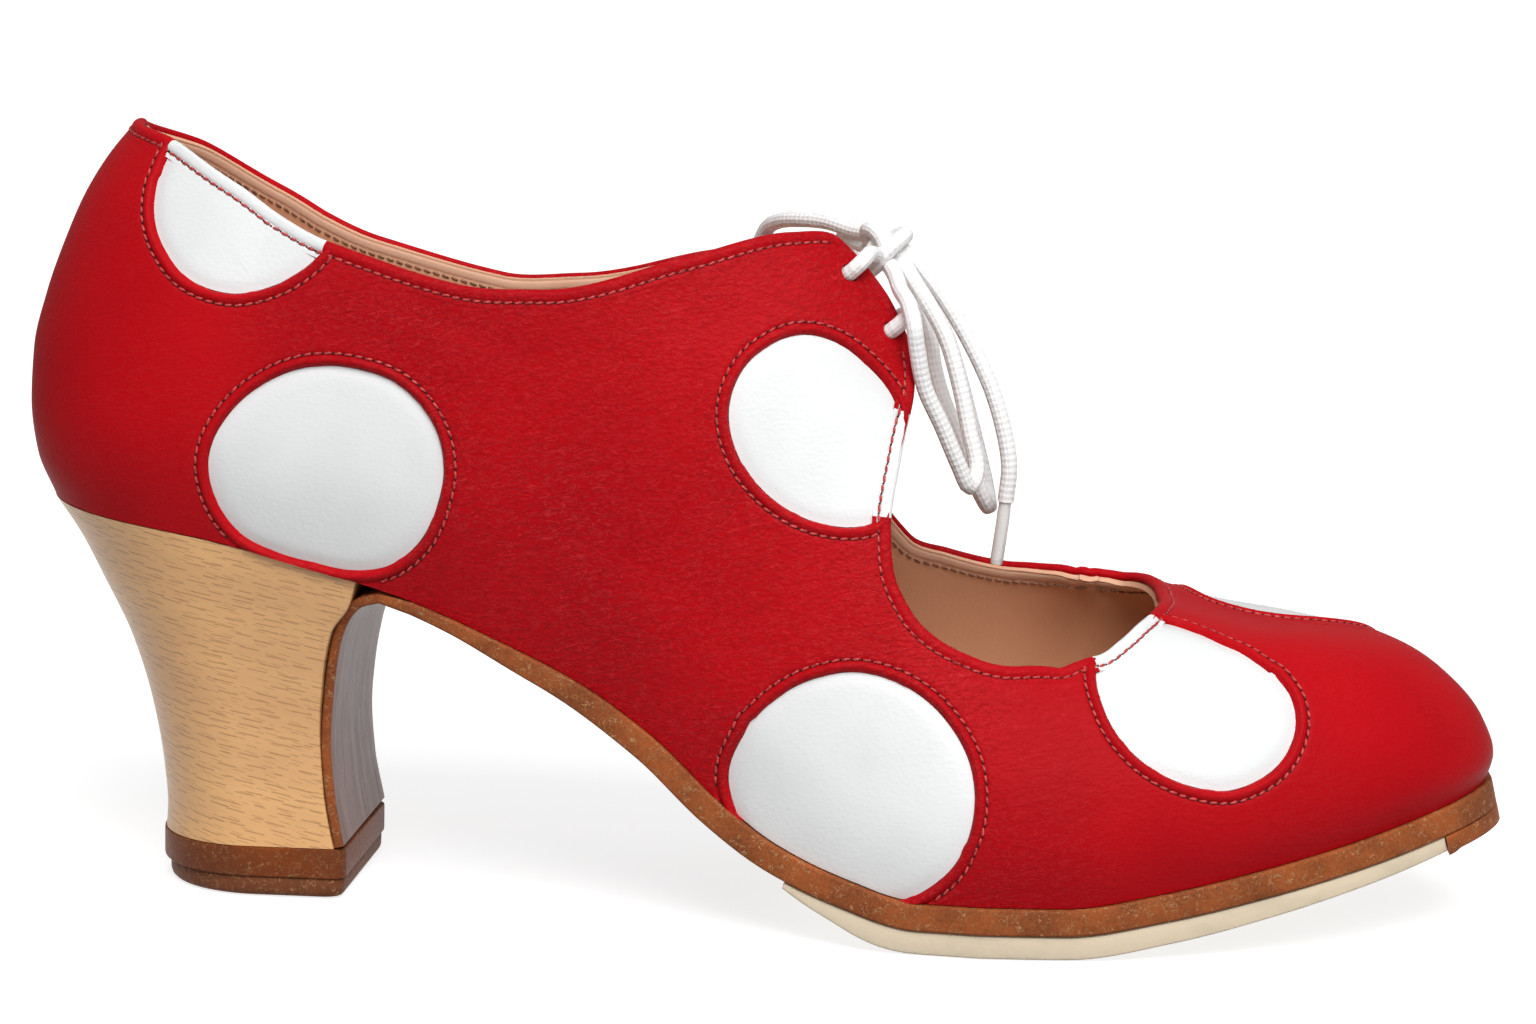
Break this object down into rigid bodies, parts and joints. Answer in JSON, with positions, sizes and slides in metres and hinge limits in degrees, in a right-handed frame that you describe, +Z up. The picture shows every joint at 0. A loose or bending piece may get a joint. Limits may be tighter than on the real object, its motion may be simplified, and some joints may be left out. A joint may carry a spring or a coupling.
{
  "type": "flamenco shoe",
  "caption": "Right flamenco shoe in red leather with white round inlays, lace-up instep over an open keyhole, turned wooden heel and layered leather sole.",
  "frame": {"origin": "middle of the shoe's box on the floor, its hanging lace ends left out", "axes": "+X from the heel to the toe, +Y to the medial (inner) side, +Z up"},
  "size_m": [0.2368, 0.0806, 0.1222],
  "materials": {
    "red_leather": "satin fine-grain red",
    "white_leather": "smooth white",
    "tan_leather": "matt tan lining",
    "brown_leather": "fibrous brown sole leather",
    "beech": "lacquered wood with short flecks",
    "cream_rubber": "matt cream",
    "white_cord": "braided white",
    "clear_tip": "translucent white"
  },
  "bodies": {
    "root": {"upper": "red_leather", "outsole": "brown_leather", "insole": "tan_leather", "forefoot_pad": "cream_rubber", "toe_piece": "brown_leather", "heel_block": "beech", "heel_lift": "brown_leather", "heel_tap": "brown_leather", "lace_bar_top": "white_cord", "lace_bar_low": "white_cord", "dot_heel_lateral": "white_leather", "dot_collar_lateral": "white_leather", "dot_instep_lateral": "white_leather", "dot_ball_lateral": "white_leather", "dot_vamp_lateral": "white_leather", "dot_heel_medial": "white_leather", "dot_collar_medial": "white_leather", "dot_instep_medial": "white_leather", "dot_ball_medial": "white_leather", "dot_vamp_medial": "white_leather", "lace_knot": "white_cord", "lace_loop_front": "white_cord", "lace_loop_behind": "white_cord", "lace_end_front": "white_cord", "lace_tip_front": "clear_tip", "lace_end_back": "white_cord", "lace_tip_back": "clear_tip"}
  },
  "joints": []
}
